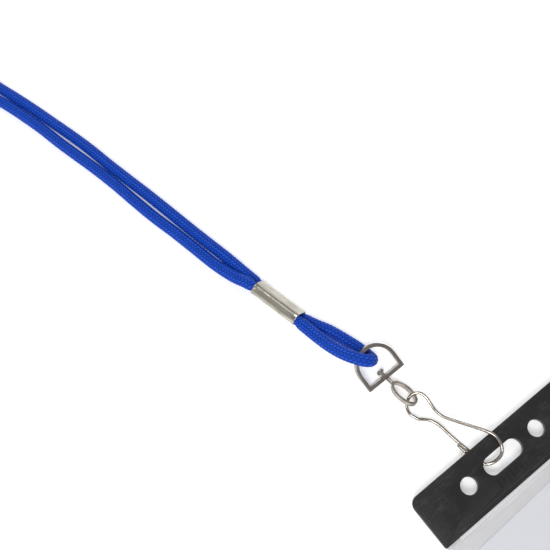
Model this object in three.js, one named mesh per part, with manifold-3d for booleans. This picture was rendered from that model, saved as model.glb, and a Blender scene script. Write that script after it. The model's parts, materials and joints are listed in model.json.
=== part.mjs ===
// Lanyard badge holder: a round braided neck cord, crimped into a short loop that carries a
// D-ring, a swivel eye, a spring-wire hook and a clear pouch with a stiff punched top bar.
// Millimetres, +Z up. The set lies flat, the pouch towards -Y and the cord towards +Y.

import * as THREE from 'three';
import { mergeVertices } from 'three/addons/utils/BufferGeometryUtils.js';
import Module from 'manifold-3d';

const wasm = await Module();
wasm.setup();

// ---- Driving dimensions -------------------------------------------------------------------

const FIT_GAP = 0.3;              // clearance kept between touching pieces

// Holder: top bar and pouch
const HOLDER_X = -0.7;            // middle of the bar
const FLOOR_GAP = 0.05;           // under the pouch's lower edge, which lies on the floor
const BAR_OVERHANG = 0.4;         // the bar's ends past the films
const BAR_HEIGHT = 18.6;
const BAR_THICKNESS = 2.0;
const BAR_CORNER = 3.2;
const BAR_TOP_MARGIN = 5.3;       // from the slot's upper edge to the bar's upper edge
const BAR_SPLIT = 0.1;            // glue line between the two leaves of the bar
const SLOT_LENGTH = 15.9;
const SLOT_HEIGHT = 6.35;
const SIDE_HOLE = 6.0;
const SIDE_HOLE_PITCH = 31.0;
const FILM = 0.35;
const FILM_SEAT = 3.0;            // how far the films reach between the bar's leaves
const FILM_CORNER = 4.0;
const WELD_WIDTH = 2.2;
const WELD_CLEARANCE = 0.1;
const MOUTH_CLEARANCE = 2.0;      // each side of the card, in the back film
const MOUTH_BELOW_BAR = 1.2;
const RIB_COUNT = 9;
const RIB_PITCH = 1.9;
const RIB_SIZE = [0.8, 2.6, 0.4];

// Card
const CARD_WIDTH = 54.0;
const CARD_HEIGHT = 85.6;
const CARD_THICKNESS = 0.76;
const CARD_CORNER = 3.2;
const CARD_CLEARANCE = 0.15;      // above and below the card
const CARD_SIDE_PLAY = 5.3;       // each side of the card in the pouch
const CARD_END_PLAY = 2.4;        // below the card at rest
const CARD_TOP_DROP = 5.6;        // from the bar's lower edge to the card's upper edge
const CARD_SKEW = 2.0;            // degrees, the card lies a little crooked

// Hook
const WIRE = 1.2;
const TIP_GAP = 0.35;             // between the tip and the spring arm under it
const ARM_HEIGHT = WIRE / 2 + FLOOR_GAP;                // lowest middle of the spring arm
const TIP_HEIGHT = ARM_HEIGHT + WIRE + TIP_GAP;         // the bar lies on the tip
const CROSS_GAP = 0.7;            // between the bar's face and the wire that crosses it
const WIRE_SEAT = TIP_HEIGHT + WIRE / 2 + FIT_GAP;      // underside of the bar at the slot
const CROSS_HEIGHT = WIRE_SEAT + BAR_THICKNESS + WIRE / 2 + CROSS_GAP;

// Swivel eye
const EYE_HALF_WIDTH = 3.2;
const EYE_HALF_LENGTH = 5.6;
const EYE_BAND = 0.9;
const EYE_BAND_WIDTH = 1.7;
const EYE_CENTRE = 9.0;           // from the D-ring's base along the stem
const EYE_ROLL = 25;
const STEM_DIAMETER = 1.5;
const HEAD_DIAMETER = 3.0;
const HEAD_THICKNESS = 1.0;
const HEAD_OFFSET = 1.9;          // from the middle of the D-ring's base

// D-ring
const RING_HALF_WIDTH = 8.0;
const RING_STRAIGHT = 5.3;
const RING_STRIP = 2.6;
const RING_THICKNESS = 1.35;
const RING_PITCH = 22;            // degrees, the arc stands up on the cord loop
const RING_ROLL = -3;
const RING_BASE = new THREE.Vector3(-12.95, 46.0, 2.0);
const STEM_AIM = new THREE.Vector3(-11.9, 36.3, 3.1);

// Cord and crimp sleeve
const CORD = 4.7;
const CORD_SIDES = 10;
const SLEEVE_LENGTH = 20.4;
const SLEEVE_WIDTH = 8.8;
const SLEEVE_DEPTH = 5.0;
const SLEEVE_WALL = 0.5;
const SLEEVE_ROLL = 53;           // degrees, one strand lies over the other
const SLEEVE_LOW_END = new THREE.Vector3(-23.8, 82.2, 4.35);
const SLEEVE_LEAN = 13;           // degrees from +Y towards -X

// Coil of the stored neck cord
const COIL_CENTRE = new THREE.Vector3(-78.5, 300, 0);
const COIL_INNER = 21.9;
const COIL_OUTER = 31.3;
const COIL_HEIGHT = 9.3;

// ---- Routes -------------------------------------------------------------------------------

// Strand on the right of the neck cord, from the sleeve to the coil.
const RIGHT_STRAND = [
  [-27.05, 102.85, 2.4], [-28.1, 108.5, 2.4], [-30.1, 120, 2.4], [-32.4, 131, 2.4],
  [-34.6, 142, 2.4], [-36.7, 153, 2.4], [-38.9, 164, 2.4], [-41.3, 175, 2.4],
  [-43.6, 186, 2.4], [-45.7, 197, 2.4], [-48.3, 208, 2.4], [-51.2, 219, 2.4],
  [-54.1, 230, 2.4], [-57.3, 241, 2.4], [-60.6, 252, 2.4], [-62.2, 262.6, 2.4],
  [-60.3, 271.9, 2.4],
];

// Strand on the left of the neck cord, from the sleeve to the coil.
const LEFT_STRAND = [
  [-29.95, 102.55, 6.3], [-30.7, 105.4, 6.1], [-32.7, 110.5, 4.7], [-35.2, 120, 2.8],
  [-37.4, 131, 2.4], [-39.7, 142, 2.4], [-42.3, 153, 2.4], [-44.4, 164, 2.4],
  [-46.3, 175, 2.4], [-48.6, 186, 2.4], [-51.3, 197, 2.4], [-54.0, 208, 2.4],
  [-56.3, 219, 2.4], [-59.2, 230, 2.4], [-62.5, 241, 2.4], [-65.9, 249.6, 2.4],
  [-70.5, 259.4, 3.3], [-76.8, 267.1, 5.2],
];

// Short loop below the sleeve: over the D-ring's side, round, and back under its arc.
const LOOP_STRAND = [
  [-25.2, 81.6, 6.3], [-24.4, 77.5, 6.3], [-23.5, 72.5, 6.6], [-22.3, 66.5, 7.6],
  [-20.6, 61, 8.9], [-18.5, 56.8, 9.8], [-16.7, 54.4, 9.5], [-15.0, 53.2, 8.2],
  [-13.7, 53.1, 6.4], [-13.1, 54.0, 4.6], [-13.0, 55.6, 3.3], [-13.2, 57.8, 2.6],
  [-13.9, 60.5, 2.4], [-14.9, 63.7, 2.4], [-16.3, 67.8, 2.4], [-18.0, 72.2, 2.4],
  [-20.2, 76.4, 2.4], [-21.6, 79.4, 2.4], [-22.25, 81.75, 2.4],
];

// Hook wire from the neck round the top, down the long arm, through the slot to the tip.
const HOOK_WIRE = [
  [-14.15, 28.1, 1.55], [-14.9, 30.3, 1.6], [-14.4, 32.6, 1.8], [-12.9, 34.3, 2.5],
  [-10.9, 35.0, 3.6], [-9.0, 34.6, 4.35], [-7.6, 33.2, 4.5], [-7.1, 31.2, 4.2],
  [-7.3, 28.4, 3.7], [-7.5, 25.4, 3.4], [-6.9, 22.6, 3.4], [-4.6, 18.4, 4.2],
  [-1.6, 13.4, CROSS_HEIGHT - 1.0], [0.6, 9.6, CROSS_HEIGHT - 0.2], [1.7, 6.8, CROSS_HEIGHT],
  [1.6, 4.6, CROSS_HEIGHT], [1.1, 3.0, CROSS_HEIGHT - 0.1], [0.3, 1.7, CROSS_HEIGHT - 0.6],
  [-0.8, 0.8, CROSS_HEIGHT - 1.4], [-2.3, 0.4, TIP_HEIGHT + 1.8], [-4.0, 0.5, TIP_HEIGHT + 0.8],
  [-5.6, 1.1, TIP_HEIGHT + 0.2], [-7.0, 2.4, TIP_HEIGHT], [-8.0, 4.6, TIP_HEIGHT],
  [-8.7, 7.5, TIP_HEIGHT], [-9.1, 10.2, TIP_HEIGHT], [-9.3, 12.4, TIP_HEIGHT],
];

// Spring arm from the neck down to the catch that passes under the hook's tip.
const GATE_WIRE = [
  [-13.8, 27.35, 0.85], [-12.2, 25.9, 0.75], [-10.5, 23.9, 0.7], [-9.5, 21.2, 0.65],
  [-9.0, 17.5, 0.55], [-8.4, 13.5, 0.35], [-7.7, 10.0, 0.15], [-7.2, 7.6, 0.05],
  [-7.6, 5.7, 0], [-9.0, 5.1, 0], [-10.4, 5.9, 0], [-11.0, 7.4, 0.05],
].map(([x, y, rise]) => [x, y, ARM_HEIGHT + rise]);

// ---- Worked-out dimensions ----------------------------------------------------------------

const POUCH_WIDTH = CARD_WIDTH + 2 * (CARD_SIDE_PLAY + WELD_WIDTH);
const BAR_WIDTH = POUCH_WIDTH + 2 * BAR_OVERHANG;
const MOUTH_WIDTH = CARD_WIDTH + 2 * MOUTH_CLEARANCE;
const STEM_HOLE = STEM_DIAMETER + 2 * FIT_GAP;
const BAR_TOP = SLOT_HEIGHT / 2 + BAR_TOP_MARGIN;
const BAR_BOTTOM = BAR_TOP - BAR_HEIGHT;
const LEAF = (BAR_THICKNESS - BAR_SPLIT) / 2;
const SEAT_DEPTH = FILM + 2 * BAR_SPLIT;
const POCKET_DEPTH = CARD_THICKNESS + 2 * CARD_CLEARANCE;
const BACK_FILM_Z = LEAF - FILM;
const POCKET_Z = BACK_FILM_Z + FILM;
const FRONT_FILM_Z = POCKET_Z + POCKET_DEPTH;
const CARD_TOP = BAR_BOTTOM - CARD_TOP_DROP;
const CARD_BOTTOM = CARD_TOP - CARD_HEIGHT;
const SKEW_DROP = Math.sin(THREE.MathUtils.degToRad(CARD_SKEW)) * CARD_WIDTH / 2;
const POUCH_BOTTOM = CARD_BOTTOM - SKEW_DROP - CARD_END_PLAY - WELD_WIDTH;
const TILT = Math.asin((WIRE_SEAT + BACK_FILM_Z - FLOOR_GAP) / -POUCH_BOTTOM);
const LEAN = THREE.MathUtils.degToRad(SLEEVE_LEAN);
const SLEEVE_AXIS = new THREE.Vector3(-Math.sin(LEAN), Math.cos(LEAN), 0);
const SLEEVE_HIGH_END = SLEEVE_LOW_END.clone().addScaledVector(SLEEVE_AXIS, SLEEVE_LENGTH);

// ---- Finishes -----------------------------------------------------------------------------

const FINISH = {
  cord: { color: 0x0a3cb4, roughness: 0.85, metalness: 0 },
  nickel: { color: 0xc8c3b4, roughness: 0.25, metalness: 1 },
  bar: { color: 0x2c2a2d, roughness: 0.45, metalness: 0 },
  film: { color: 0xc9ccd2, roughness: 0.3, metalness: 0, transparent: true, opacity: 0.4 },
  card: { color: 0xf2f3f6, roughness: 0.4, metalness: 0 },
};

// ---- Geometry helpers ---------------------------------------------------------------------

function solidOf(geometry) {
  const bare = geometry.clone();
  bare.deleteAttribute('normal');
  bare.deleteAttribute('uv');
  const merged = mergeVertices(bare, 1e-5);
  return new wasm.Manifold(new wasm.Mesh({
    numProp: 3,
    vertProperties: Float32Array.from(merged.attributes.position.array),
    triVerts: Uint32Array.from(merged.index.array),
  }));
}

function geometryOf(solid) {
  const mesh = solid.getMesh();
  const geometry = new THREE.BufferGeometry();
  geometry.setAttribute('position', new THREE.BufferAttribute(mesh.vertProperties, 3));
  geometry.setIndex(new THREE.BufferAttribute(mesh.triVerts, 1));
  geometry.computeVertexNormals();
  return geometry;
}

function cut(geometry, ...tools) {
  return geometryOf(tools.reduce((solid, tool) => solid.subtract(solidOf(tool)), solidOf(geometry)));
}

function join(geometry, ...others) {
  return geometryOf(others.reduce((solid, other) => solid.add(solidOf(other)), solidOf(geometry)));
}

function mesh(name, geometry, finish) {
  const piece = new THREE.Mesh(geometry, new THREE.MeshStandardMaterial(finish));
  piece.name = name;
  return piece;
}

function slab(shape, low, thickness, curveSegments = 10) {
  const settings = { depth: thickness, bevelEnabled: false, curveSegments };
  return new THREE.ExtrudeGeometry(shape, settings).translate(0, 0, low);
}

function box(width, length, height, x, y, low) {
  return new THREE.BoxGeometry(width, length, height).translate(x, y, low + height / 2);
}

// One corner of an outline that runs anticlockwise: an arc, or a sharp point at radius 0.
function corner(outline, x, y, inwardX, inwardY, radius, quarter) {
  if (radius === 0) {
    outline.lineTo(x, y);
    return;
  }
  const start = quarter * Math.PI / 2;
  const [centreX, centreY] = [x + inwardX * radius, y + inwardY * radius];
  outline.absarc(centreX, centreY, radius, start, start + Math.PI / 2);
}

// A rectangle between two heights on the sheet, with its own radius at the top and the bottom.
function plate(width, bottom, top, topRadius, bottomRadius) {
  const half = width / 2;
  const shape = new THREE.Shape();
  shape.moveTo(0, bottom);
  corner(shape, half, bottom, -1, 1, bottomRadius, -1);
  corner(shape, half, top, -1, -1, topRadius, 0);
  corner(shape, -half, top, 1, -1, topRadius, 1);
  corner(shape, -half, bottom, 1, 1, bottomRadius, 2);
  return shape;
}

function stadium(length, height, Kind = THREE.Path) {
  const reach = (length - height) / 2;
  const outline = new Kind();
  outline.absarc(reach, 0, height / 2, -Math.PI / 2, Math.PI / 2);
  outline.absarc(-reach, 0, height / 2, Math.PI / 2, 1.5 * Math.PI);
  return outline;
}

function roundSection(diameter, sides) {
  const points = [];
  for (let side = 0; side < sides; side += 1) {
    const angle = 2 * Math.PI * side / sides;
    points.push(new THREE.Vector2(Math.cos(angle), Math.sin(angle)).multiplyScalar(diameter / 2));
  }
  return new THREE.Shape(points);
}

function tube(points, diameter, sides, steps) {
  const route = new THREE.CatmullRomCurve3(points.map((point) => new THREE.Vector3(...point)));
  const settings = { steps, bevelEnabled: false, extrudePath: route };
  return new THREE.ExtrudeGeometry(roundSection(diameter, sides), settings);
}

function rod(diameter, low, high, segments) {
  const geometry = new THREE.CylinderGeometry(diameter / 2, diameter / 2, high - low, segments);
  return geometry.translate(0, (low + high) / 2, 0);
}

// ---- Neck cord ----------------------------------------------------------------------------

function coilRing() {
  const shoulder = CORD + 0.9;
  const crown = (COIL_OUTER - COIL_INNER) / 4;
  const profile = [
    [COIL_INNER, 0], [COIL_OUTER, 0], [COIL_OUTER, shoulder], [COIL_OUTER - crown, COIL_HEIGHT],
    [COIL_INNER + crown, COIL_HEIGHT], [COIL_INNER, shoulder], [COIL_INNER, 0],
  ].map(([radius, height]) => new THREE.Vector2(radius, height));
  return new THREE.LatheGeometry(profile, 36).rotateX(Math.PI / 2);
}

function neckCord() {
  const coil = mesh('neck_cord_coil', coilRing(), FINISH.cord);
  coil.position.copy(COIL_CENTRE);
  return [
    mesh('neck_cord_right', tube(RIGHT_STRAND, CORD, CORD_SIDES, 44), FINISH.cord),
    mesh('neck_cord_left', tube(LEFT_STRAND, CORD, CORD_SIDES, 44), FINISH.cord),
    coil,
    mesh('cord_loop', tube(LOOP_STRAND, CORD, CORD_SIDES, 26), FINISH.cord),
  ];
}

// ---- Crimp sleeve -------------------------------------------------------------------------

function sleeveFrame() {
  const roll = THREE.MathUtils.degToRad(SLEEVE_ROLL);
  const across = new THREE.Vector3(-SLEEVE_AXIS.y, SLEEVE_AXIS.x, 0).multiplyScalar(Math.cos(roll));
  const long = across.add(new THREE.Vector3(0, 0, Math.sin(roll)));
  const short = new THREE.Vector3().crossVectors(SLEEVE_AXIS, long);
  const frame = new THREE.Group();
  frame.setRotationFromMatrix(new THREE.Matrix4().makeBasis(long, short, SLEEVE_AXIS));
  frame.position.copy(SLEEVE_LOW_END);
  return frame;
}

function crimpSleeve() {
  const boreLength = SLEEVE_WIDTH - 2 * SLEEVE_WALL;
  const boreDepth = SLEEVE_DEPTH - 2 * SLEEVE_WALL;
  const shell = stadium(SLEEVE_WIDTH, SLEEVE_DEPTH, THREE.Shape);
  shell.holes.push(stadium(boreLength, boreDepth));
  const core = stadium(boreLength - 2 * FIT_GAP, boreDepth - 2 * FIT_GAP, THREE.Shape);
  const frame = sleeveFrame();
  frame.add(mesh('crimp_sleeve', slab(shell, 0, SLEEVE_LENGTH), FINISH.nickel));
  frame.add(mesh('crimped_cord_core', slab(core, 0, SLEEVE_LENGTH), FINISH.cord));
  return frame;
}

// ---- D-ring -------------------------------------------------------------------------------

function ringOutline(Kind, inset) {
  const half = RING_HALF_WIDTH - inset;
  const base = -RING_THICKNESS / 2 + inset;
  const outline = new Kind();
  outline.moveTo(-half, base);
  outline.lineTo(half, base);
  outline.absarc(0, RING_STRAIGHT, half, 0, Math.PI);
  return outline;
}

function ringPose() {
  const pose = new THREE.Object3D();
  const degrees = [RING_PITCH, RING_ROLL, 0].map(THREE.MathUtils.degToRad);
  pose.rotation.set(...degrees, 'YXZ');
  pose.position.copy(RING_BASE);
  pose.updateMatrix();
  return pose.matrix;
}

// Frame with its own -Y along the swivel's stem, away from the D-ring.
function stemPose(roll) {
  const away = STEM_AIM.clone().sub(RING_BASE).normalize();
  const up = new THREE.Vector3(0, 0, 1);
  const side = new THREE.Vector3().crossVectors(up, away).normalize();
  const lift = new THREE.Vector3().crossVectors(away, side);
  const basis = new THREE.Matrix4().makeBasis(side, away.clone().negate(), lift);
  const turn = new THREE.Matrix4().makeRotationY(THREE.MathUtils.degToRad(roll));
  return basis.multiply(turn).setPosition(RING_BASE);
}

function dRing() {
  const outline = ringOutline(THREE.Shape, 0);
  outline.holes.push(ringOutline(THREE.Path, RING_THICKNESS));
  const ring = slab(outline, -RING_STRIP / 2, RING_STRIP, 28).applyMatrix4(ringPose());
  const hole = rod(STEM_HOLE, -3, 3, 20).applyMatrix4(stemPose(0));
  return mesh('d_ring', cut(ring, hole), FINISH.nickel);
}

// ---- Swivel eye ---------------------------------------------------------------------------

function eyeOutline(Kind, inset) {
  const outline = new Kind();
  const halfWidth = EYE_HALF_WIDTH - inset;
  const halfLength = EYE_HALF_LENGTH - inset;
  outline.absellipse(0, -EYE_CENTRE, halfWidth, halfLength, 0, 2 * Math.PI);
  return outline;
}

function swivelEye() {
  const outline = eyeOutline(THREE.Shape, 0);
  outline.holes.push(eyeOutline(THREE.Path, EYE_BAND));
  const band = slab(outline, -EYE_BAND_WIDTH / 2, EYE_BAND_WIDTH, 24);
  const reach = EYE_CENTRE - EYE_HALF_LENGTH + EYE_BAND / 2;
  const stem = rod(STEM_DIAMETER, -reach, HEAD_OFFSET + HEAD_THICKNESS / 2, 20);
  const head = rod(HEAD_DIAMETER, HEAD_OFFSET, HEAD_OFFSET + HEAD_THICKNESS, 20);
  return mesh('swivel_eye', join(band, stem, head).applyMatrix4(stemPose(EYE_ROLL)), FINISH.nickel);
}

// ---- Hook ---------------------------------------------------------------------------------

function wireHook() {
  return [
    mesh('hook_wire', tube(HOOK_WIRE, WIRE, 10, 78), FINISH.nickel),
    mesh('hook_spring_arm', tube(GATE_WIRE, WIRE, 10, 32), FINISH.nickel),
  ];
}

// ---- Holder -------------------------------------------------------------------------------

function barShape() {
  const shape = plate(BAR_WIDTH, BAR_BOTTOM, BAR_TOP, BAR_CORNER, 0.4);
  shape.holes.push(stadium(SLOT_LENGTH, SLOT_HEIGHT));
  for (const side of [-1, 1]) {
    const hole = new THREE.Path();
    hole.absarc(side * SIDE_HOLE_PITCH / 2, 0, SIDE_HOLE / 2, 0, 2 * Math.PI);
    shape.holes.push(hole);
  }
  return shape;
}

// Room in a leaf of the bar for the film that is welded into it.
function seatCut(low, height) {
  return box(BAR_WIDTH + 2, 2 * FILM_SEAT, height, 0, BAR_BOTTOM, low);
}

function bar() {
  const backLeaf = slab(barShape(), 0, LEAF, 18);
  const frontLeaf = slab(barShape(), LEAF + BAR_SPLIT, LEAF, 18);
  const ribs = [];
  for (let index = 0; index < RIB_COUNT; index += 1) {
    const x = (index - (RIB_COUNT - 1) / 2) * RIB_PITCH;
    const y = (BAR_BOTTOM - SLOT_HEIGHT / 2) / 2 + 0.7;
    ribs.push(box(RIB_SIZE[0], RIB_SIZE[1], 2 * RIB_SIZE[2], x, y, BAR_THICKNESS - RIB_SIZE[2]));
  }
  const backSeat = seatCut(BACK_FILM_Z - BAR_SPLIT, LEAF);
  const frontSeat = seatCut(LEAF, SEAT_DEPTH);
  return [
    mesh('bar_back_leaf', cut(backLeaf, backSeat), FINISH.bar),
    mesh('bar_front_leaf', join(cut(frontLeaf, frontSeat), ...ribs), FINISH.bar),
  ];
}

function backFilm() {
  const top = BAR_BOTTOM + FILM_SEAT - FIT_GAP;
  const sheet = slab(plate(POUCH_WIDTH, POUCH_BOTTOM, top, 0, FILM_CORNER), BACK_FILM_Z, FILM);
  const mouthBottom = BAR_BOTTOM - MOUTH_BELOW_BAR;
  const mouth = box(MOUTH_WIDTH, 2 * (top - mouthBottom), 2, 0, top, BACK_FILM_Z - 1);
  return mesh('pouch_back_film', cut(sheet, mouth), FINISH.film);
}

// The front film steps up over the card just below the bar.
function frontFilm() {
  const top = BAR_BOTTOM + FILM_SEAT - FIT_GAP;
  const seat = LEAF + BAR_SPLIT;
  const section = new THREE.Shape([
    [top, seat], [top, seat + FILM], [BAR_BOTTOM - 0.4, seat + FILM],
    [BAR_BOTTOM - 3.2, FRONT_FILM_Z + FILM], [POUCH_BOTTOM, FRONT_FILM_Z + FILM],
    [POUCH_BOTTOM, FRONT_FILM_Z], [BAR_BOTTOM - 3.1, FRONT_FILM_Z], [BAR_BOTTOM - 0.3, seat],
  ].map(([y, z]) => new THREE.Vector2(y, z)));
  const run = new THREE.ExtrudeGeometry(section, { depth: POUCH_WIDTH, bevelEnabled: false });
  run.applyMatrix4(new THREE.Matrix4().makeBasis(
    new THREE.Vector3(0, 1, 0), new THREE.Vector3(0, 0, 1), new THREE.Vector3(1, 0, 0),
  ));
  run.translate(-POUCH_WIDTH / 2, 0, 0);
  const outline = slab(plate(POUCH_WIDTH, POUCH_BOTTOM, top, 0, FILM_CORNER), -5, 15);
  return mesh('pouch_front_film', geometryOf(solidOf(run).intersect(solidOf(outline))), FINISH.film);
}

// U-shaped border where the two films are welded down both sides and along the bottom.
function pouchWeld() {
  const top = BAR_BOTTOM - 3.5;
  const low = POCKET_Z + WELD_CLEARANCE;
  const depth = POCKET_DEPTH - 2 * WELD_CLEARANCE;
  const border = slab(plate(POUCH_WIDTH, POUCH_BOTTOM, top, 0, FILM_CORNER), low, depth);
  const innerWidth = POUCH_WIDTH - 2 * WELD_WIDTH;
  const innerCorner = FILM_CORNER - WELD_WIDTH;
  const inner = plate(innerWidth, POUCH_BOTTOM + WELD_WIDTH, top + 5, 0, innerCorner);
  return mesh('pouch_edge_weld', cut(border, slab(inner, low - 2, depth + 4)), FINISH.film);
}

function card() {
  const outline = plate(CARD_WIDTH, -CARD_HEIGHT / 2, CARD_HEIGHT / 2, CARD_CORNER, CARD_CORNER);
  const sheet = slab(outline, 0, CARD_THICKNESS, 8);
  sheet.rotateZ(THREE.MathUtils.degToRad(CARD_SKEW));
  sheet.translate(0, (CARD_TOP + CARD_BOTTOM) / 2, POCKET_Z + CARD_CLEARANCE);
  return mesh('badge_card', sheet, FINISH.card);
}

function holder() {
  const group = new THREE.Group();
  group.add(...bar(), backFilm(), frontFilm(), pouchWeld(), card());
  group.rotation.x = TILT;
  group.position.set(HOLDER_X, 0, WIRE_SEAT);
  return group;
}

// ---- Assembly -----------------------------------------------------------------------------

// The origin is under the middle of everything but the neck cord.
function assembly() {
  const group = new THREE.Group();
  group.add(...neckCord(), crimpSleeve(), dRing(), swivelEye(), ...wireHook(), holder());
  const farEnd = SLEEVE_HIGH_END.y + Math.sin(LEAN) * SLEEVE_WIDTH / 2 * Math.cos(
    THREE.MathUtils.degToRad(SLEEVE_ROLL),
  );
  const nearEnd = POUCH_BOTTOM * Math.cos(TILT);
  group.position.set(-HOLDER_X, -(farEnd + nearEnd) / 2, 0);
  return group;
}

const group = assembly();
export default group;
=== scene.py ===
"""Looks of the lanyard badge holder: braided neck cord, crimp sleeve, D-ring, swivel eye,
spring-wire hook, black punched bar and clear pouch with its card. Metres, +Z up."""

import json
import math

import bmesh
import bpy
import numpy as np
from mathutils import Matrix, Vector


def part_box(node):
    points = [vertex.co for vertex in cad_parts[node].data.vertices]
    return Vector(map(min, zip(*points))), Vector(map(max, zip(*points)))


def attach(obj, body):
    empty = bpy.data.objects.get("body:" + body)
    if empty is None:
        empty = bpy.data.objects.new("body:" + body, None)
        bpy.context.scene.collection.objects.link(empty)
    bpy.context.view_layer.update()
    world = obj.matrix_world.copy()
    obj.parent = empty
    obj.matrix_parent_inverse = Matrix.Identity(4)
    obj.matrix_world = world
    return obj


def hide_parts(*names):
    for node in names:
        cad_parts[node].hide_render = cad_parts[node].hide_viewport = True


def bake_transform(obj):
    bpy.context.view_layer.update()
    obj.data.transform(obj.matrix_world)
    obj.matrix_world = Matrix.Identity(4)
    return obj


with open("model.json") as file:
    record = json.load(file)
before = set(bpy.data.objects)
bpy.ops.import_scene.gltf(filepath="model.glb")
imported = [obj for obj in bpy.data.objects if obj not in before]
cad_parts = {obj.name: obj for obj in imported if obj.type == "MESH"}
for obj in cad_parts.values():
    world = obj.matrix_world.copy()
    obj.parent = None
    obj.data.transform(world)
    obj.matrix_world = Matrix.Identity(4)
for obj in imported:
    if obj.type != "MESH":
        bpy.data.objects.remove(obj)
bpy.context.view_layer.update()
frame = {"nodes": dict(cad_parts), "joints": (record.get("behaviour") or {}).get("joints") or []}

# ---- Sizes, in millimetres as on the maker's drawing ------------------------------------

MM = 0.001

CORD = 4.7
YARNS = 12                   # yarns of each lay round the braid, a multiple of 2
BRAID_PITCH = 1.4            # length of one crossing of two yarns
BRAID_SIDES = 48
BRAID_STEP = BRAID_PITCH / 3
BRAID_RELIEF = 0.2
FILAMENTS = 5                # seen across one yarn
BRAID_MIDDLE = 0.75          # share of the relief that lies inside the cord's own thickness
GRIPPED = 0.76               # share of the cord's thickness left inside the sleeve
GRIP_EASE = 3.0              # over which it swells again outside the sleeve

SLEEVE_LENGTH = 20.4
SLEEVE_WIDTH = 8.8
SLEEVE_DEPTH = 5.0
SLEEVE_WALL = 0.45
SLEEVE_ROLL = math.radians(53)
SLEEVE_LEAN = math.radians(13)
SLEEVE_LOW_END = (-23.8, 82.2, 4.35)
STRAND_OFFSET = 1.9          # of each strand's middle from the sleeve's own

WIRE = 1.2
WIRE_SIDES = 20
WIRE_STEP = 0.12

BAR_WIDTH = 69.8
BAR_HEIGHT = 18.6
BAR_THICKNESS = 2.0
BAR_TOP = 8.475
BAR_BOTTOM = BAR_TOP - BAR_HEIGHT
FILM = 0.35
FILM_TOP = BAR_BOTTOM + 2.7
FILM_CORNER = 4.0
POUCH_WIDTH = 69.0
POUCH_BOTTOM = -106.86
BACK_FILM_Z = 0.6
SEAT_Z = 1.05                # front film where it is held between the leaves of the bar
FRONT_FILM_Z = 2.01
MOUTH_HALF_WIDTH = 29.0
MOUTH_BOTTOM = BAR_BOTTOM - 1.2
HOLDER_X = -0.7
COIL_CENTRE = (-78.5, 300.0)

# ---- Where the drawing lies in the frame ------------------------------------------------

coil_low, coil_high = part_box("neck_cord_coil")
back_leaf_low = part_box("bar_back_leaf")[0]
SHIFT = Vector((
    (coil_low.x + coil_high.x) / 2 - COIL_CENTRE[0] * MM,
    (coil_low.y + coil_high.y) / 2 - COIL_CENTRE[1] * MM,
    0,
))
slide = next(joint for joint in frame["joints"] if joint["name"] == "card_slide")
TILT = math.atan2(slide["axis"][2], slide["axis"][1])
BAR_SEAT = back_leaf_low.z - BAR_BOTTOM * MM * math.sin(TILT)
HOLDER = (
    Matrix.Translation(SHIFT + Vector((HOLDER_X * MM, 0, BAR_SEAT)))
    @ Matrix.Rotation(TILT, 4, "X")
)


def placed(point):
    """A point of the drawing, in millimetres, as a point of the frame."""
    return Vector(point) * MM + SHIFT


# ---- Routes -----------------------------------------------------------------------------

RIGHT_STRAND = [
    (-27.05, 102.85, 2.4), (-28.1, 108.5, 2.4), (-30.1, 120, 2.4), (-32.4, 131, 2.4),
    (-34.6, 142, 2.4), (-36.7, 153, 2.4), (-38.9, 164, 2.4), (-41.3, 175, 2.4),
    (-43.6, 186, 2.4), (-45.7, 197, 2.4), (-48.3, 208, 2.4), (-51.2, 219, 2.4),
    (-54.1, 230, 2.4), (-57.3, 241, 2.4), (-60.6, 252, 2.4), (-62.2, 262.6, 2.4),
    (-60.3, 271.9, 2.4),
]
LEFT_STRAND = [
    (-29.95, 102.55, 6.3), (-30.7, 105.4, 6.1), (-32.7, 110.5, 4.7), (-35.2, 120, 2.8),
    (-37.4, 131, 2.4), (-39.7, 142, 2.4), (-42.3, 153, 2.4), (-44.4, 164, 2.4),
    (-46.3, 175, 2.4), (-48.6, 186, 2.4), (-51.3, 197, 2.4), (-54.0, 208, 2.4),
    (-56.3, 219, 2.4), (-59.2, 230, 2.4), (-62.5, 241, 2.4), (-65.9, 249.6, 2.4),
    (-70.5, 259.4, 3.3), (-76.8, 267.1, 5.2),
]
LOOP_STRAND = [
    (-25.2, 81.6, 6.3), (-24.4, 77.5, 6.3), (-23.5, 72.5, 6.6), (-22.3, 66.5, 7.6),
    (-20.6, 61, 8.9), (-18.5, 56.8, 9.8), (-16.7, 54.4, 9.5), (-15.0, 53.2, 8.2),
    (-13.7, 53.1, 6.4), (-13.1, 54.0, 4.6), (-13.0, 55.6, 3.3), (-13.2, 57.8, 2.6),
    (-13.9, 60.5, 2.4), (-14.9, 63.7, 2.4), (-16.3, 67.8, 2.4), (-18.0, 72.2, 2.4),
    (-20.2, 76.4, 2.4), (-21.6, 79.4, 2.4), (-22.25, 81.75, 2.4),
]
HOOK_WIRE = [
    (-14.15, 28.1, 1.55), (-14.9, 30.3, 1.6), (-14.4, 32.6, 1.8), (-12.9, 34.3, 2.5),
    (-10.9, 35.0, 3.6), (-9.0, 34.6, 4.35), (-7.6, 33.2, 4.5), (-7.1, 31.2, 4.2),
    (-7.3, 28.4, 3.7), (-7.5, 25.4, 3.4), (-6.9, 22.6, 3.4), (-4.6, 18.4, 4.2),
    (-1.6, 13.4, 5.4), (0.6, 9.6, 6.2), (1.7, 6.8, 6.4), (1.6, 4.6, 6.4),
    (1.1, 3.0, 6.3), (0.3, 1.7, 5.8), (-0.8, 0.8, 5.0), (-2.3, 0.4, 4.0),
    (-4.0, 0.5, 3.0), (-5.6, 1.1, 2.4), (-7.0, 2.4, 2.2), (-8.0, 4.6, 2.2),
    (-8.7, 7.5, 2.2), (-9.1, 10.2, 2.2), (-9.3, 12.4, 2.2),
]
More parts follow.
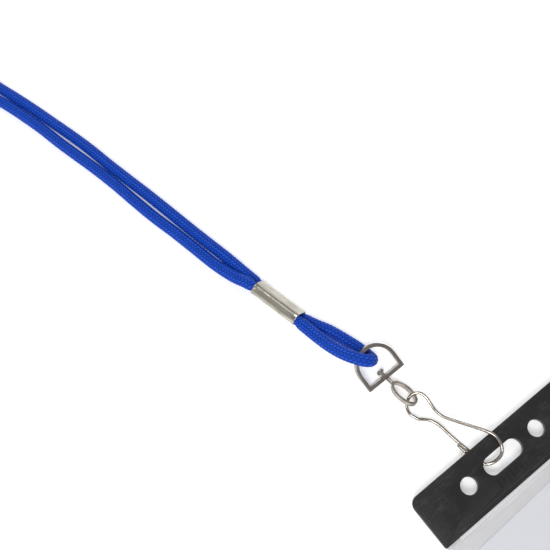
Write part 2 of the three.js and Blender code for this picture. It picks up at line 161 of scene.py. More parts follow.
SPRING_ARM = [
    (-14.15, 28.1, 1.55), (-13.8, 27.35, 1.5), (-12.2, 25.9, 1.4), (-10.5, 23.9, 1.35),
    (-9.5, 21.2, 1.3), (-9.0, 17.5, 1.2), (-8.4, 13.5, 1.0), (-7.7, 10.0, 0.8),
    (-7.2, 7.6, 0.7), (-7.6, 5.7, 0.65), (-9.0, 5.1, 0.65), (-10.4, 5.9, 0.65),
    (-11.0, 7.4, 0.7),
]

OUTER_TURN = 28.9            # radius of the turn laid first, on the floor
INNER_TURN = 24.2            # radius of the turn inside it
UPPER_TURN = 26.5            # radius of the turn that rests on both
LAID = CORD / 2              # height of the cord's middle on the floor
RESTING = 6.45               # height of its middle on the two turns below

# Turns of the put-away coil: angle in degrees, radius and height of the cord's middle.
COIL_TURNS = (
    [(angle, OUTER_TURN, LAID) for angle in range(-45, 270, 21)]
    + [(270, OUTER_TURN, LAID), (281, 27.9, LAID), (293, 26.5, LAID), (304, 25.1, LAID)]
    + [(angle, INNER_TURN, LAID) for angle in range(315, 585, 22)]
    + [(585, INNER_TURN, LAID), (596, INNER_TURN, 3.1), (607, 24.3, 4.5), (618, 25.0, 6.0)]
    + [(630, 26.2, 6.95), (641, UPPER_TURN, 7.08), (652, UPPER_TURN, 7.1)]
    + [(663, UPPER_TURN, 7.08), (675, UPPER_TURN, 6.9)]
    + [(angle, UPPER_TURN, RESTING) for angle in range(697, 930, 25)]
    + [(945, 26.6, 6.8)]
)
COIL_ALONG = (-0.313, 0.95)  # from the coil's middle to angle 90
COIL_RIGHT = (0.95, 0.313)   # from the coil's middle to angle 0
COIL_EXIT = [(-22.6, -14.9, 7.05), (-26.3, -11.7, 7.15), (-29.2, -9.8, 6.75)]


def on_coil(along, right, height):
    x = COIL_CENTRE[0] + along * COIL_ALONG[0] + right * COIL_RIGHT[0]
    y = COIL_CENTRE[1] + along * COIL_ALONG[1] + right * COIL_RIGHT[1]
    return x, y, height


def coil_route():
    turns = []
    for degrees, radius, height in COIL_TURNS:
        angle = math.radians(degrees)
        turns.append(on_coil(radius * math.sin(angle), radius * math.cos(angle), height))
    return turns + [on_coil(*point) for point in COIL_EXIT]


SLEEVE_AXIS = Vector((-math.sin(SLEEVE_LEAN), math.cos(SLEEVE_LEAN), 0))
SLEEVE_LONG = (
    Vector((-SLEEVE_AXIS.y, SLEEVE_AXIS.x, 0)) * math.cos(SLEEVE_ROLL)
    + Vector((0, 0, math.sin(SLEEVE_ROLL)))
)
SLEEVE_SHORT = SLEEVE_AXIS.cross(SLEEVE_LONG)


def in_sleeve(along, side):
    """Middle of the upper (+1) or lower (-1) strand, so far above the sleeve's lower end."""
    return tuple(Vector(SLEEVE_LOW_END) + SLEEVE_AXIS * along + SLEEVE_LONG * STRAND_OFFSET * side)


def catmull_rom(points, per_span=24):
    """A smooth line through the points, closely sampled."""
    points = np.array(points, float)
    points = np.vstack([2 * points[0] - points[1], points, 2 * points[-1] - points[-2]])
    line = []
    for p0, p1, p2, p3 in zip(points, points[1:], points[2:], points[3:]):
        t0 = 0.0
        t1 = t0 + np.linalg.norm(p1 - p0) ** 0.5
        t2 = t1 + np.linalg.norm(p2 - p1) ** 0.5
        t3 = t2 + np.linalg.norm(p3 - p2) ** 0.5
        t = np.linspace(t1, t2, per_span, endpoint=False)[:, None]
        a1 = (t1 - t) / (t1 - t0) * p0 + (t - t0) / (t1 - t0) * p1
        a2 = (t2 - t) / (t2 - t1) * p1 + (t - t1) / (t2 - t1) * p2
        a3 = (t3 - t) / (t3 - t2) * p2 + (t - t2) / (t3 - t2) * p3
        b1 = (t2 - t) / (t2 - t0) * a1 + (t - t0) / (t2 - t0) * a2
        b2 = (t3 - t) / (t3 - t1) * a2 + (t - t1) / (t3 - t1) * a3
        line.append((t2 - t) / (t2 - t1) * b1 + (t - t1) / (t2 - t1) * b2)
    line.append(points[-2][None])
    return np.vstack(line)


def evenly(line, step):
    """The same line in equal steps, and the distance of each point along it."""
    gone = np.concatenate([[0], np.cumsum(np.linalg.norm(np.diff(line, axis=0), axis=1))])
    places = np.linspace(0, gone[-1], max(2, round(gone[-1] / step)) + 1)
    return np.stack([np.interp(places, gone, line[:, k]) for k in range(3)], 1), places


def sides_of(line):
    """Two directions across the line at each point, carried along it without twist."""
    ahead = np.gradient(line, axis=0)
    ahead /= np.linalg.norm(ahead, axis=1)[:, None]
    across = np.cross(ahead[0], (0, 0, 1.0))
    first = []
    for way in ahead:
        across = across - way * np.dot(across, way)
        across /= np.linalg.norm(across)
        first.append(across)
    first = np.array(first)
    return first, np.cross(ahead, first)


# ---- Mesh helpers -----------------------------------------------------------------------

SHARP_EDGE = math.radians(25)       # edges that turn more than this are rolled over

def show(name, bm, material, smooth_angle=40):
    """Makes the bmesh a finished piece with its place in its mesh."""
    mesh = bpy.data.meshes.new(name)
    bm.to_mesh(mesh)
    bm.free()
    piece = bpy.data.objects.new(name, mesh)
    bpy.context.scene.collection.objects.link(piece)
    mesh.materials.append(material)
    mesh.shade_smooth()
    mesh.set_sharp_from_angle(angle=math.radians(smooth_angle))
    return piece


def bent_sheet(columns, rows, place):
    """A grid moved to place(u, v), with u across and v along, from 0 to 1. It keeps its UVs."""
    bm = bmesh.new()
    bm.loops.layers.uv.new("UVMap")
    bmesh.ops.create_grid(bm, x_segments=columns, y_segments=rows, size=0.5, calc_uvs=True)
    flat = np.array([vert.co[:2] for vert in bm.verts]) + 0.5
    for vert, point in zip(bm.verts, place(flat[:, 0], flat[:, 1])):
        vert.co = point
    return bm


def rolled_skin(columns, rows, place):
    """A bent sheet whose long edges meet, closed at both ends."""
    bm = bent_sheet(columns, rows, place)
    bmesh.ops.remove_doubles(bm, verts=bm.verts, dist=1e-7)
    rims = [edge for edge in bm.edges if edge.is_boundary]
    if rims:
        bmesh.ops.holes_fill(bm, edges=rims, sides=0)
    bmesh.ops.recalc_face_normals(bm, faces=bm.faces)
    return bm


def stretch_uv(bm, length):
    """Sets the second UV to millimetres along the piece."""
    layer = bm.loops.layers.uv.verify()
    for face in bm.faces:
        for loop in face.loops:
            loop[layer].uv.y *= length


def braid_relief(around, along):
    """Height of the upper yarn, from 0 to 1. Each yarn passes over two and under two."""
    one = YARNS * around + along / BRAID_PITCH
    other = YARNS * around - along / BRAID_PITCH
    phase = (np.floor(one) + np.floor(other)) % 4
    lay = phase < 2
    across = np.where(lay, one % 1, other % 1)
    float_share = np.where(
        lay, (other + np.floor(one)) % 4, (one + np.floor(other)) % 4 - 2) / 2
    crown = np.sin(math.pi * across) * np.sin(math.pi * np.clip(float_share, 0, 1))
    return np.sqrt(np.clip(crown, 0, 1))


def braided_cord(name, route, gripped, material):
    """A braided tube along the route, and its middle line. Its ends are gripped so far."""
    line, gone = evenly(catmull_rom(route), BRAID_STEP)
    first, second = sides_of(line)
    rows = len(line) - 1
    length = gone[-1]

    def place(u, v):
        row = np.rint(v * rows).astype(int)
        along = gone[row]
        free = np.minimum(along - gripped[0], length - gripped[1] - along)
        swell = np.clip(free / GRIP_EASE, 0, 1)
        thick = GRIPPED + (1 - GRIPPED) * swell * swell * (3 - 2 * swell)
        relief = (braid_relief(u, along) - BRAID_MIDDLE) * BRAID_RELIEF
        radius = (CORD / 2 * thick + relief * thick)[:, None]
        angle = (2 * math.pi * u)[:, None]
        ring = np.cos(angle) * first[row] + np.sin(angle) * second[row]
        return (line[row] + radius * ring) * MM + np.array(SHIFT)

    bm = rolled_skin(BRAID_SIDES, rows, place)
    stretch_uv(bm, length)
    piece = show(name, bm, material, 80)
    return piece, [tuple(placed(point)) for point in line[::4]]


def bent_wire(name, route, material):
    """A round wire along the route, flat at its start and domed at its end."""
    line, gone = evenly(catmull_rom(route), WIRE_STEP)
    first, second = sides_of(line)
    rows = len(line) - 1
    radius = WIRE / 2

    def place(u, v):
        row = np.rint(v * rows).astype(int)
        near = np.clip((gone[-1] - gone[row]) / radius, 0, 1)
        round_off = np.sqrt(np.clip(1 - (1 - near) ** 2, 0.02, 1))[:, None]
        angle = (2 * math.pi * u)[:, None]
        ring = np.cos(angle) * first[row] + np.sin(angle) * second[row]
        return (line[row] + radius * round_off * ring) * MM + np.array(SHIFT)

    bm = rolled_skin(WIRE_SIDES, rows, place)
    stretch_uv(bm, gone[-1])
    return show(name, bm, material, 60)


def softened_copy(node, name, material, width, segments=3):
    """The node's own shape with its loose triangles joined and its sharp edges rolled over."""
    bm = bmesh.new()
    bm.from_mesh(frame["nodes"][node].data)
    bmesh.ops.remove_doubles(bm, verts=bm.verts, dist=1e-6)
    bmesh.ops.dissolve_limit(
        bm, angle_limit=math.radians(0.5), use_dissolve_boundaries=False,
        verts=bm.verts, edges=bm.edges, delimit={"NORMAL"},
    )
    edges = [e for e in bm.edges if e.is_manifold and e.calc_face_angle() > SHARP_EDGE]
    bmesh.ops.bevel(
        bm, geom=edges, offset=width * MM, offset_type="OFFSET", segments=segments,
        profile=0.5, affect="EDGES", clamp_overlap=True, material=-1,
    )
    return show(name, bm, material, 35)


# ---- Materials --------------------------------------------------------------------------

def add_node(tree, kind, inputs=None, **settings):
    made = tree.nodes.new("ShaderNode" + kind)
    for key, value in settings.items():
        setattr(made, key, value)
    for key, value in (inputs or {}).items():
        if isinstance(value, bpy.types.NodeSocket):
            tree.links.new(value, made.inputs[key])
        else:
            made.inputs[key].default_value = value
    return made


def new_material(name, **constants):
    """A material and its shader, with the constants set on the shader's own sockets."""
    material = bpy.data.materials.new(name)
    material.use_nodes = True
    tree = material.node_tree
    shader = tree.nodes["Principled BSDF"]
    for key, value in constants.items():
        shader.inputs[key.replace("_", " ")].default_value = value
    return material, tree, shader


def math_node(tree, operation, *values):
    inputs = {index: value for index, value in enumerate(values)}
    return add_node(tree, "Math", inputs, operation=operation).outputs[0]


def mixed(tree, share, low, high):
    node = add_node(tree, "Mix", {0: share, 6: low, 7: high}, data_type="RGBA")
    return node.outputs[2]


def ranged(tree, value, low, high, start=0.0, end=1.0):
    node = add_node(tree, "MapRange", {0: value, 1: start, 2: end, 3: low, 4: high})
    return node.outputs[0]


def drawn_noise(tree, stretch, scale, detail=4.0, turn=0.0, bent=0.0):
    """Noise drawn out along one way of the piece, and bent a little if asked."""
    place = add_node(tree, "TexCoord").outputs["Object"]
    turned = add_node(
        tree, "Mapping", {"Vector": place, "Rotation": (0, 0, turn), "Scale": stretch},
    ).outputs[0]
    return add_node(
        tree, "TexNoise",
        {"Vector": turned, "Scale": scale, "Detail": detail, "Distortion": bent},
    ).outputs[0]


def bump(tree, height, strength, distance, below=None):
    inputs = {"Height": height, "Strength": strength, "Distance": distance}
    if below is not None:
        inputs["Normal"] = below
    return add_node(tree, "Bump", inputs).outputs[0]


def braid_material():
    """Polyester braid: yarns of fine filaments, with a painted highlight on their crowns and along
    the filaments and painted shade in the hollows between them.
    """
    material, tree, shader = new_material(
        "blue_braid", Sheen_Weight=0.02, Sheen_Roughness=0.4, IOR=1.45,
        Specular_IOR_Level=0.2,
    )
    shader.inputs["Sheen Tint"].default_value = (0.25, 0.45, 1.0, 1.0)
    uv = add_node(tree, "SeparateXYZ", {0: add_node(tree, "TexCoord").outputs["UV"]})
    around = math_node(tree, "MULTIPLY", uv.outputs[0], float(YARNS))
    along = math_node(tree, "DIVIDE", uv.outputs[1], BRAID_PITCH)
    one = math_node(tree, "ADD", around, along)
    other = math_node(tree, "SUBTRACT", around, along)
    one_floor = math_node(tree, "FLOOR", one)
    other_floor = math_node(tree, "FLOOR", other)
    phase = math_node(
        tree, "FLOORED_MODULO", math_node(tree, "ADD", one_floor, other_floor), 4.0)
    under = math_node(tree, "GREATER_THAN", phase, 1.5)
    across = add_node(
        tree, "Mix",
        {0: under, 2: math_node(tree, "FRACT", one), 3: math_node(tree, "FRACT", other)},
        data_type="FLOAT").outputs[0]
    first_float = math_node(
        tree, "FLOORED_MODULO", math_node(tree, "ADD", other, one_floor), 4.0)
    second_float = math_node(
        tree, "FLOORED_MODULO", math_node(tree, "ADD", one, other_floor), 4.0)
    float_share = math_node(tree, "MULTIPLY", add_node(
        tree, "Mix",
        {0: under, 2: first_float, 3: math_node(tree, "SUBTRACT", second_float, 2.0)},
        data_type="FLOAT").outputs[0], 0.5)
    bows = [
        math_node(tree, "SINE", math_node(tree, "MULTIPLY", share, math.pi))
        for share in (across, float_share)
    ]
    crown = math_node(tree, "SQRT", math_node(tree, "ABSOLUTE", math_node(
        tree, "MULTIPLY", *bows)))
    filaments = math_node(
        tree, "SINE", math_node(tree, "MULTIPLY", across, 2 * math.pi * FILAMENTS))
    filament_share = ranged(tree, filaments, 0.0, 1.0, -1.0, 1.0)
    place = add_node(tree, "TexCoord").outputs["Object"]
    body = add_node(
        tree, "TexNoise", {"Vector": place, "Scale": 420.0, "Detail": 3.0}).outputs[0]
    # painted shade: a darker blue for the hollows between the yarns' crowns
    painted_valley_shade = mixed(tree, body, (0.001, 0.014, 0.15, 1), (0.0018, 0.024, 0.24, 1))
    # painted highlight: stripes of lighter blue along the filament ridges
    bright = mixed(tree, filament_share, (0.0015, 0.045, 0.46, 1), (0.004, 0.10, 0.86, 1))
    # painted highlight for the yarns' crowns: the filament stripes and a paler blue
    painted_crown_highlight = mixed(tree, body, bright, (0.010, 0.15, 0.95, 1))
    # the crown's height moves the colour from the painted shade to the painted highlight
    share = ranged(tree, crown, 0.0, 1.0, 0.25, 0.98)
    colour = mixed(tree, share, painted_valley_shade, painted_crown_highlight)
    # painted shade: the yarns of the second lay are darkened a little
    colour = mixed(
        tree, math_node(tree, "MULTIPLY", under, 0.3), colour, (0.0015, 0.028, 0.30, 1))
    rough = ranged(tree, filament_share, 0.42, 0.62)
    height = math_node(
        tree, "ADD", crown, math_node(tree, "MULTIPLY", filament_share, 0.25))
    tree.links.new(colour, shader.inputs["Base Color"])
    tree.links.new(rough, shader.inputs["Roughness"])
    tree.links.new(bump(tree, height, 0.6, 0.00022), shader.inputs["Normal"])
    return material


def nickel_material(name, bright, dull, smooth, rough, streak, turn):
    """Nickel-plated steel with drawn streaks along the piece and dull handled patches."""
    material, tree, shader = new_material(name, Metallic=1.0)
    streaks = drawn_noise(tree, streak, 1.0, 5.0, turn)
    patches = drawn_noise(tree, (1, 1, 1), 160.0, 3.0)
    streak_share = ranged(tree, streaks, 0.0, 1.0, 0.35, 0.65)
    patch_share = ranged(tree, patches, 0.0, 1.0, 0.4, 0.65)
    tarnish = math_node(
        tree, "ADD", math_node(tree, "MULTIPLY", streak_share, 0.6),
        math_node(tree, "MULTIPLY", patch_share, 0.4))
    tone = mixed(tree, tarnish, bright, dull)
    worn = math_node(tree, "MULTIPLY", streaks, patches)
    roughness = ranged(tree, worn, smooth, rough, 0.1, 0.45)
    tree.links.new(tone, shader.inputs["Base Color"])
    tree.links.new(roughness, shader.inputs["Roughness"])
    tree.links.new(bump(tree, streaks, 0.12, 0.00006), shader.inputs["Normal"])
    return material


def bar_material():
    """Satin black vinyl with a soft grain and two lays of short, fine, slanting rub marks."""
    material, tree, shader = new_material("black_vinyl", IOR=1.5)
    marks = drawn_noise(tree, (330, 2700, 330), 1.0, 6.0, math.radians(58), 0.9)
    cross_marks = drawn_noise(tree, (2300, 420, 420), 1.0, 5.0, math.radians(8), 1.2)
    grain = drawn_noise(tree, (1, 1, 1), 2600.0, 2.0)
    cloud = drawn_noise(tree, (1, 1, 1), 75.0, 4.0)
    handled = ranged(tree, cloud, 0.15, 1.0, 0.42, 0.62)
    rubbed = math_node(tree, "MULTIPLY", ranged(tree, marks, 0.0, 1.0, 0.5, 0.8), handled)
    crossed = math_node(
        tree, "MULTIPLY", ranged(tree, cross_marks, 0.0, 0.6, 0.52, 0.8), handled)
    worn = math_node(tree, "MAXIMUM", rubbed, crossed)
    tone = mixed(tree, cloud, (0.010, 0.0095, 0.0105, 1), (0.018, 0.0165, 0.018, 1))
    tone = mixed(tree, math_node(tree, "MULTIPLY", worn, 0.55), tone, (0.085, 0.08, 0.085, 1))
    rough = ranged(tree, worn, 0.34, 0.62)
    fine = bump(tree, grain, 0.2, 0.00004)
    tree.links.new(tone, shader.inputs["Base Color"])
    tree.links.new(rough, shader.inputs["Roughness"])
    tree.links.new(bump(tree, marks, 0.25, 0.00006, fine), shader.inputs["Normal"])
    return material


def film_material(name, alpha, tint):
    """Clear pouch vinyl: glossy, faintly grey, with handling waves and fine scuffs."""
    material, tree, shader = new_material(
        name, IOR=1.5, Alpha=alpha, Coat_Weight=0.35, Coat_Roughness=0.12,
    )
    waves = drawn_noise(tree, (1, 1, 1), 45.0, 2.0)
    scuffs = drawn_noise(tree, (60, 1400, 60), 1.0, 4.0, math.radians(-24))
    dull = mixed(tree, scuffs, tint, tuple(min(1.0, c * 1.05) for c in tint[:3]) + (1,))
    tree.links.new(dull, shader.inputs["Base Color"])
    tree.links.new(ranged(tree, scuffs, 0.2, 0.3, 0.35, 0.7), shader.inputs["Roughness"])
    tree.links.new(bump(tree, waves, 0.15, 0.0006), shader.inputs["Normal"])
    return material


def card_material():
    """Bluish white plastic card, with a faint matte grain and softly soiled tone."""
    material, tree, shader = new_material("white_card", IOR=1.48)
    grain = drawn_noise(tree, (1, 1, 1), 1800.0, 3.0)
    cloud = drawn_noise(tree, (1, 1, 1), 35.0, 3.0)
    tone = mixed(tree, cloud, (0.84, 0.87, 0.91, 1), (0.88, 0.90, 0.94, 1))
    tree.links.new(tone, shader.inputs["Base Color"])
    tree.links.new(ranged(tree, grain, 0.34, 0.46), shader.inputs["Roughness"])
    tree.links.new(bump(tree, grain, 0.08, 0.00003), shader.inputs["Normal"])
    return material


def floor_material():
    """White paper, lifted a little by light of its own."""
    material, tree, shader = new_material("white_paper_floor")
    cloud = drawn_noise(tree, (1, 1, 1), 3.0, 2.0)
    tone = mixed(tree, cloud, (0.93, 0.93, 0.93, 1), (0.95, 0.95, 0.95, 1))
    tree.links.new(tone, shader.inputs["Base Color"])
    shader.inputs["Roughness"].default_value = 0.9
    shader.inputs["Emission Color"].default_value = (1, 1, 1, 1)
    shader.inputs["Emission Strength"].default_value = 0.4
    return material


BRAID = braid_material()
SLEEVE_NICKEL = nickel_material(
    "sleeve_nickel", (0.55, 0.52, 0.45, 1), (0.33, 0.31, 0.26, 1), 0.24, 0.42,
    (1300, 45, 1300), -SLEEVE_LEAN)
RING_NICKEL = nickel_material(
    "ring_nickel", (0.52, 0.48, 0.43, 1), (0.27, 0.24, 0.215, 1), 0.18, 0.38,
    (300, 300, 900), 0.0)
WIRE_NICKEL = nickel_material(
    "wire_nickel", (0.46, 0.42, 0.38, 1), (0.32, 0.29, 0.26, 1), 0.16, 0.32,
    (400, 400, 400), 0.0)
VINYL = bar_material()
FRONT_CLEAR = film_material("clear_film_front", 0.24, (0.80, 0.80, 0.82, 1))
BACK_CLEAR = film_material("clear_film_back", 0.4, (0.66, 0.655, 0.665, 1))
WELD_CLEAR = film_material("clear_film_weld", 0.6, (0.62, 0.63, 0.66, 1))
CARD_WHITE = card_material()

# ---- Camera -----------------------------------------------------------------------------

CAMERA_PLACE = (-66.5, 12.7, 258.8)
CAMERA_RIGHT = (0.7887, -0.6107, -0.0699)
CAMERA_UP = (0.5910, 0.7220, 0.3598)
LENS = 46.88

camera_data = bpy.data.cameras.new("camera")
camera_data.lens = LENS
camera_data.sensor_width = 36.0
camera_data.clip_start = 0.01
camera = bpy.data.objects.new("camera", camera_data)
bpy.context.scene.collection.objects.link(camera)
right = Vector(CAMERA_RIGHT).normalized()
back = right.cross(Vector(CAMERA_UP)).normalized()
up = back.cross(right)
turned = Matrix((right, up, back)).transposed().to_4x4()
camera.matrix_world = Matrix.Translation(placed(CAMERA_PLACE)) @ turned
bpy.context.scene.camera = camera

# ---- Cords ------------------------------------------------------------------------------

GRIP = 9.0                   # cord hidden in the sleeve at each end
neck_route = (
    [in_sleeve(SLEEVE_LENGTH - GRIP, -1), in_sleeve(SLEEVE_LENGTH - GRIP / 2, -1)]
    + RIGHT_STRAND + coil_route() + LEFT_STRAND[::-1]
    + [in_sleeve(SLEEVE_LENGTH - GRIP / 2, 1), in_sleeve(SLEEVE_LENGTH - GRIP, 1)]
)
neck_cord, neck_path = braided_cord("neck_cord", neck_route, (GRIP, GRIP), BRAID)
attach(neck_cord, "cord_and_sleeve")
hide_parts("neck_cord_right", "neck_cord_left", "neck_cord_coil")

loop_route = (
    [in_sleeve(GRIP, 1), in_sleeve(GRIP / 2, 1)] + LOOP_STRAND
    + [in_sleeve(GRIP / 2, -1), in_sleeve(GRIP, -1)]
)
cord_loop = braided_cord("ring_loop", loop_route, (GRIP, GRIP), BRAID)[0]
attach(cord_loop, "cord_and_sleeve")
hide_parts("cord_loop", "crimped_cord_core")

# ---- Crimp sleeve -----------------------------------------------------------------------

def stadium_point(share):
    """A point of the sleeve's outline and its outward direction, round from 0 to 1."""
    half_flat = (SLEEVE_WIDTH - SLEEVE_DEPTH) / 2
    radius = SLEEVE_DEPTH / 2
    flat, bend = 2 * half_flat, math.pi * radius
    gone = (share % 1) * 2 * (flat + bend)
    if gone < flat:
        return (half_flat - gone, radius), (0, 1)
    gone -= flat
    if gone < bend:
        angle = math.pi / 2 + gone / radius
        way = (math.cos(angle), math.sin(angle))
        return (-half_flat + radius * way[0], radius * way[1]), way
    gone -= bend
    if gone < flat:
        return (-half_flat + gone, -radius), (0, -1)
    angle = -math.pi / 2 + (gone - flat) / radius
    way = (math.cos(angle), math.sin(angle))
    return (half_flat + radius * way[0], radius * way[1]), way


SLEEVE_COLUMNS = 96
SLEEVE_ROWS = 60
SLEEVE_DENT = 0.22           # how far the flats are squeezed in at the middle
SLEEVE_FLARE = 0.14          # how far the ends open
FLARE_REACH = 0.9            # how far in from an end the flare dies out
SLEEVE_RIM = 0.12            # rolled edge


def sleeve_place(u, v):
    """The sleeve's outer wall, flared at its ends and squeezed in the middle of its flats."""
    points = []
    for share, along in zip(u, v):
        (x, y), (out_x, out_y) = stadium_point(share)
        end = min(along, 1 - along) * SLEEVE_LENGTH
        flare = SLEEVE_FLARE * math.exp(-(end / FLARE_REACH) ** 2)
        crimp = SLEEVE_DENT * math.sin(math.pi * along) ** 0.7 * abs(out_y) ** 4
        hollow = crimp * math.cos(math.pi * x / SLEEVE_WIDTH) ** 2
        x += out_x * (flare - hollow)
        y += out_y * (flare - hollow)
        point = (
            Vector(SLEEVE_LOW_END) + SLEEVE_AXIS * along * SLEEVE_LENGTH
            + SLEEVE_LONG * x + SLEEVE_SHORT * y
        )
        points.append(placed(point))
    return points


def crimp_sleeve():
    bm = bent_sheet(SLEEVE_COLUMNS, SLEEVE_ROWS, sleeve_place)
    stretch_uv(bm, SLEEVE_LENGTH)
    bmesh.ops.remove_doubles(bm, verts=bm.verts, dist=1e-7)
    bmesh.ops.recalc_face_normals(bm, faces=bm.faces)
    piece = show("crimp_sleeve_shell", bm, SLEEVE_NICKEL, 30)
    wall = piece.modifiers.new("wall", "SOLIDIFY")
    wall.thickness = SLEEVE_WALL * MM
    wall.offset = -1.0
    wall.use_even_offset = True
    rim = piece.modifiers.new("rim", "BEVEL")
    rim.width = SLEEVE_RIM * MM
    rim.segments = 3
    rim.limit_method = "ANGLE"
    rim.angle_limit = math.radians(50)
    return piece


sleeve = crimp_sleeve()
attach(sleeve, "cord_and_sleeve")
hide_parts("crimp_sleeve")

# ---- D-ring and swivel eye --------------------------------------------------------------

RING_ROLLED = 0.28           # rolled edges of the two stamped pieces
EYE_ROLLED = 0.18

ring = softened_copy("d_ring", "strap_d_ring", RING_NICKEL, RING_ROLLED)
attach(ring, "ring")
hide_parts("d_ring")

eye = softened_copy("swivel_eye", "swivel_eye_band", RING_NICKEL, EYE_ROLLED)
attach(eye, "swivel")
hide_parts("swivel_eye")

# ---- Hook: one wire, its bent hook and its free spring leg ------------------------------

hook = bent_wire("hook_bent_wire", HOOK_WIRE, WIRE_NICKEL)
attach(hook, "hook")
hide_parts("hook_wire")

spring_arm = bent_wire("hook_spring_leg", SPRING_ARM, WIRE_NICKEL)
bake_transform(spring_arm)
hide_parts("hook_spring_arm")

# ---- Bar --------------------------------------------------------------------------------

BAR_ROLLED = 0.16

front_leaf = softened_copy("bar_front_leaf", "bar_front_cover", VINYL, BAR_ROLLED)
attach(front_leaf, "holder")
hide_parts("bar_front_leaf")

back_leaf = softened_copy("bar_back_leaf", "bar_back_cover", VINYL, BAR_ROLLED)
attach(back_leaf, "holder")
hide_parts("bar_back_leaf")

BEAD_SIZE = 0.22
BEAD_INSET = 1.4             # from the ends and the lower edge of the bar
BEAD_SUNK = 0.03             # of its middle below the bar's face


def weld_bead():
    """Low half-round line pressed along the bar's ends and lower edge."""
    side, low = BAR_WIDTH / 2 - BEAD_INSET, BAR_BOTTOM + BEAD_INSET
    path = [(-side, y, 0) for y in (5.2, 2, -2, -5)] + [(-side, low + 1.6, 0)]
    path += [(-side + 0.5, low + 0.5, 0), (-side + 1.6, low, 0)]
    path += [(x * side, low, 0) for x in (-0.8, -0.4, 0)]
    route = path + [(-x, y, z) for x, y, z in path[-2::-1]]
    line, gone = evenly(catmull_rom(route, 8), 0.4)
    first, second = sides_of(line)
    rows = len(line) - 1

    def place(u, v):
        row = np.rint(v * rows).astype(int)
        angle = (2 * math.pi * u)[:, None]
        ring = np.cos(angle) * first[row] + np.sin(angle) * second[row]
        return line[row] + BEAD_SIZE * ring

    bm = rolled_skin(12, rows, place)
    cut = bmesh.ops.bisect_plane(
        bm, geom=bm.verts[:] + bm.edges[:] + bm.faces[:], plane_co=(0, 0, BEAD_SUNK),
        plane_no=(0, 0, 1), clear_inner=True,
    )
    rims = [e for e in cut["geom_cut"] if isinstance(e, bmesh.types.BMEdge)]
    bmesh.ops.holes_fill(bm, edges=rims, sides=0)
    bmesh.ops.translate(bm, verts=bm.verts, vec=(0, 0, BAR_THICKNESS - BEAD_SUNK))
    bmesh.ops.transform(bm, verts=bm.verts, matrix=HOLDER @ Matrix.Scale(MM, 4))
    bmesh.ops.recalc_face_normals(bm, faces=bm.faces)
    return show("bar_weld_bead", bm, VINYL, 40)


bead = weld_bead()
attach(bead, "holder")

# ---- Pouch ------------------------------------------------------------------------------

def rounded_corner(x, y):
    """Pulls the lower corners of a film in to their radius."""
    half = POUCH_WIDTH / 2
    side = 1 if x > 0 else -1
    centre_x, centre_y = side * (half - FILM_CORNER), POUCH_BOTTOM + FILM_CORNER
    dx, dy = x - centre_x, y - centre_y
    if dx * side <= 0 or dy >= 0:
        return x, y
    reach = math.hypot(dx, dy)
    scale = max(abs(dx), abs(dy)) / reach
    return centre_x + dx * scale, centre_y + dy * scale


def film_stations(stops, pitch):
    """Even stations between the given stops."""
    stations = [stops[0]]
    for low, high in zip(stops, stops[1:]):
        count = max(1, round((high - low) / pitch))
        stations += [low + (high - low) * (k + 1) / count for k in range(count)]
    return stations


RAMP_START = 0.3             # below the bar, where the front film starts to step up
RAMP_LENGTH = 2.8
RIPPLE = 0.10
RIPPLE_EDGE = 8              # over which the ripple grows in from the borders


def film_piece(name, xs, ys, lift, material, hole=None):
    """A film of even thickness over these stations. lift(x, y) gives its under side."""
    columns, rows = len(xs) - 1, len(ys) - 1

    def place(u, v):
        points = []
        for share_x, share_y in zip(u, v):
            x, y = xs[round(share_x * columns)], ys[round(share_y * rows)]
            x, y = rounded_corner(x, y)
            points.append(HOLDER @ (Vector((x, y, lift(x, y))) * MM))
        return points

    bm = bent_sheet(columns, rows, place)
    if hole:
        inverse = HOLDER.inverted()
        inside = [f for f in bm.faces if hole(inverse @ f.calc_center_median() / MM)]
        bmesh.ops.delete(bm, geom=inside, context="FACES")
    piece = show(name, bm, material, 60)
    wall = piece.modifiers.new("film", "SOLIDIFY")
    wall.thickness = FILM * MM
    wall.offset = 1.0
    return piece


def eased(value):
    value = min(1.0, max(0.0, value))
    return value * value * (3 - 2 * value)


def front_lift(x, y):
    """The front film leaves the bar, steps up over the card and ripples a little."""
    ramp = eased((BAR_BOTTOM - RAMP_START - y) / RAMP_LENGTH)
    from_side = (POUCH_WIDTH / 2 - abs(x)) / RIPPLE_EDGE
    from_bottom = (y - POUCH_BOTTOM) / RIPPLE_EDGE
    inside = min(1.0, from_side, from_bottom) * ramp
    ripple = RIPPLE * math.sin(x / 7.3 + y / 19) * math.sin(y / 11.7) + RIPPLE
    return SEAT_Z + (FRONT_FILM_Z - SEAT_Z) * ramp + ripple * max(0.0, inside)


def back_lift(x, y):
    """The back film lies flat."""
    return BACK_FILM_Z


WELD_ROLLED = 0.1
CARD_ROLLED = 0.12

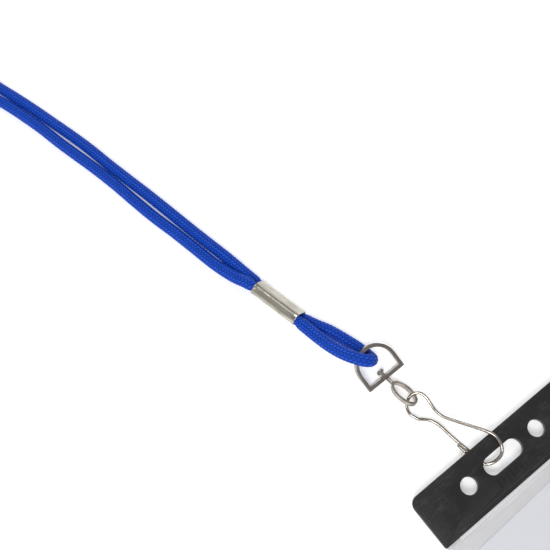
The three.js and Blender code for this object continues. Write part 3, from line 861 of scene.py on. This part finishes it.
half_pouch = POUCH_WIDTH / 2
film_xs = film_stations(
    [-half_pouch, -half_pouch + FILM_CORNER, -MOUTH_HALF_WIDTH, MOUTH_HALF_WIDTH,
     half_pouch - FILM_CORNER, half_pouch], 1.6)
front_ys = film_stations(
    [POUCH_BOTTOM, POUCH_BOTTOM + FILM_CORNER, BAR_BOTTOM - 4, BAR_BOTTOM, FILM_TOP], 1.2)
back_ys = film_stations(
    [POUCH_BOTTOM, POUCH_BOTTOM + FILM_CORNER, MOUTH_BOTTOM, FILM_TOP], 1.8)
front_film = film_piece("pouch_front", film_xs, front_ys, front_lift, FRONT_CLEAR)
back_film = film_piece(
    "pouch_back", film_xs, back_ys, back_lift, BACK_CLEAR,
    hole=lambda point: abs(point.x) < MOUTH_HALF_WIDTH and point.y > MOUTH_BOTTOM)
weld = softened_copy("pouch_edge_weld", "pouch_weld_border", WELD_CLEAR, WELD_ROLLED, 2)
for piece, node in (
    (front_film, "pouch_front_film"), (back_film, "pouch_back_film"),
    (weld, "pouch_edge_weld"),
):
    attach(piece, "holder")
    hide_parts(node)

card = softened_copy("badge_card", "blank_badge_card", CARD_WHITE, CARD_ROLLED)
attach(card, "card")
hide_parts("badge_card")

# ---- Floor and lights -------------------------------------------------------------------

FLOOR_HALF = 3.0
FLOOR_DROP = 0.00005         # keeps the floor's face off the lowest pieces
LIGHT_AIM = (0, 0.05, 0)


def make_floor():
    bm = bmesh.new()
    bmesh.ops.create_grid(bm, x_segments=2, y_segments=2, size=FLOOR_HALF)
    bmesh.ops.translate(bm, verts=bm.verts, vec=(0, 0, -FLOOR_DROP))
    floor = show("studio_floor", bm, floor_material())


def make_light(name, place, size, power):
    """A round soft light turned to the set."""
    data = bpy.data.lights.new(name, "AREA")
    data.shape = "DISK"
    data.size = size
    data.energy = power
    light = bpy.data.objects.new(name, data)
    light.location = place
    aim = Vector(LIGHT_AIM) - Vector(place)
    light.rotation_euler = aim.to_track_quat("-Z", "Y").to_euler()
    bpy.context.scene.collection.objects.link(light)


make_floor()
make_light("key_softbox", (-0.45, -0.25, 0.85), 0.4, 5.0)
make_light("top_softbox", (0.25, 0.75, 0.95), 0.5, 3.6)
world = bpy.data.worlds.new("studio_world")
world.use_nodes = True
sky = world.node_tree
rise = add_node(sky, "SeparateXYZ", {0: add_node(sky, "TexCoord").outputs["Generated"]})
paper_to_ceiling = ranged(sky, rise.outputs[2], 0.0, 1.0, 0.12, 0.6)
sky.links.new(
    mixed(sky, paper_to_ceiling, (0.92, 0.92, 0.92, 1), (0.27, 0.27, 0.275, 1)),
    sky.nodes["Background"].inputs["Color"],
)
bpy.context.scene.world = world
bpy.context.scene.view_settings.view_transform = "Standard"
